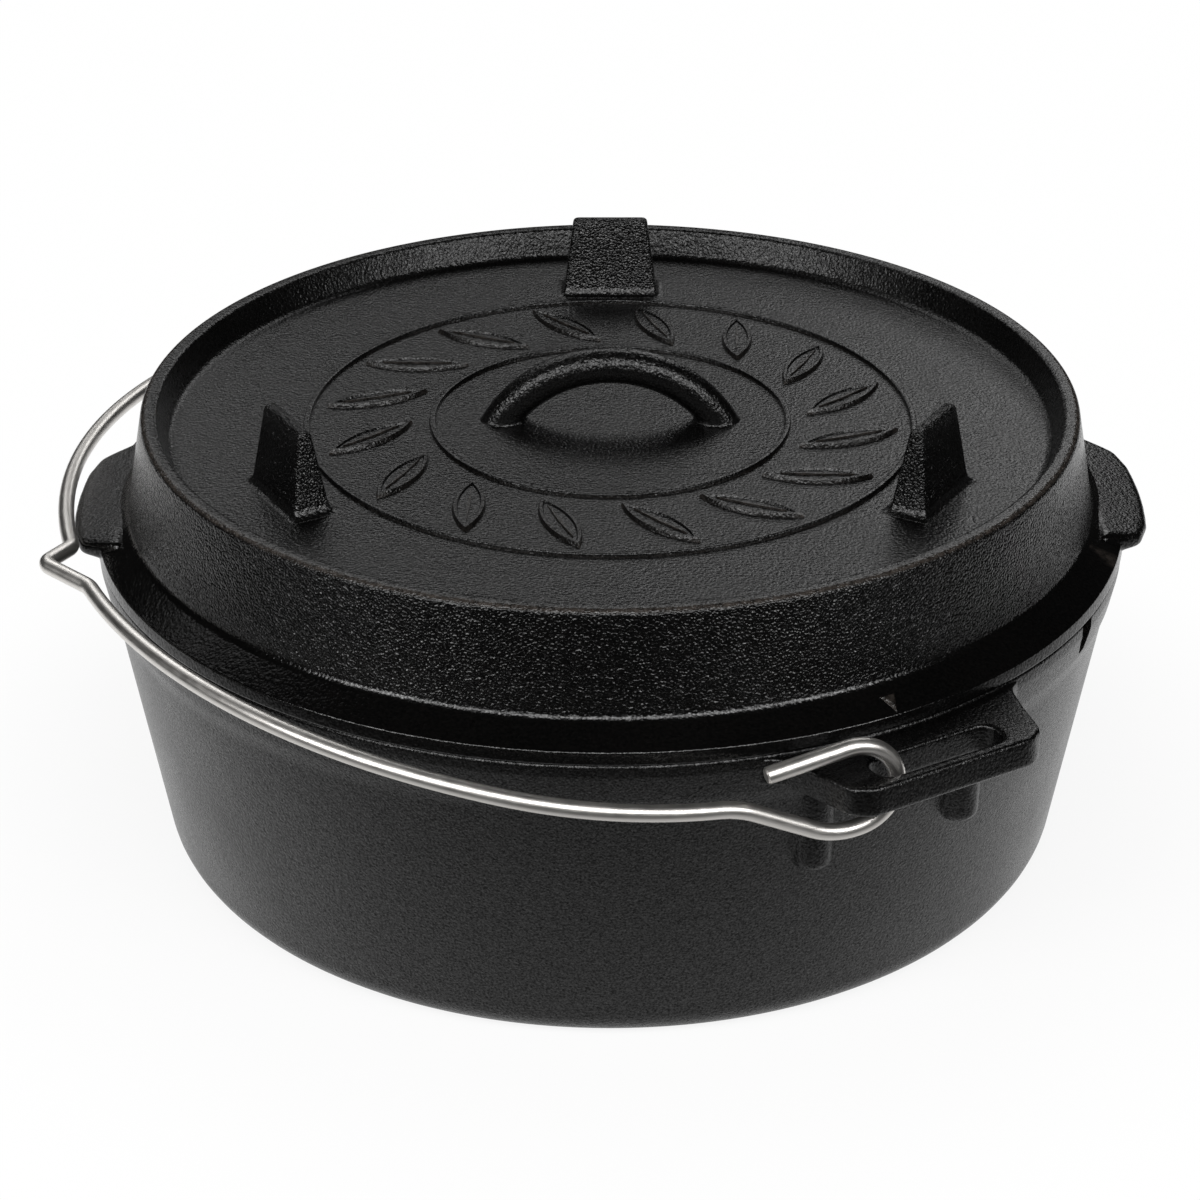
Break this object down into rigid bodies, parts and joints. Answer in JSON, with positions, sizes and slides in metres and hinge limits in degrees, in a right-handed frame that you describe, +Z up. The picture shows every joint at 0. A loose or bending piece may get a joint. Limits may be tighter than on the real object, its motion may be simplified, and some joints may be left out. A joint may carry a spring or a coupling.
{
  "type": "camp dutch oven",
  "caption": "Cast iron camp dutch oven: round pot with slotted ears, deep lid with an arched handle and short legs, and a bent wire bail that swings over it.",
  "frame": {"origin": "centre of the pot's flat base", "axes": "+Z up through the pot's axis, +X towards the right lid tab, -Y towards the viewer of the picture"},
  "size_m": [0.3328, 0.3585, 0.1558],
  "materials": {
    "pot_iron": "seasoned, fine sand-cast grain",
    "lid_iron": "seasoned, fine sand-cast grain",
    "bail_wire": "drawn wire, satin"
  },
  "bodies": {
    "pot": {"pot": "pot_iron"},
    "lid": {"lid": "lid_iron"},
    "bail": {"bail": "bail_wire"}
  },
  "joints": [
    {"name": "lid_lift", "type": "slide", "parent": "pot", "child": "lid", "axis": [0, 0, 1], "range_m": [0, 0.25]},
    {"name": "bail_swing", "type": "hinge", "parent": "pot", "child": "bail", "pos_m": [0.00827, 0.00285, 0.09615], "axis": [-0.3256, 0.9455, 0], "range_deg": [0, 120]}
  ]
}
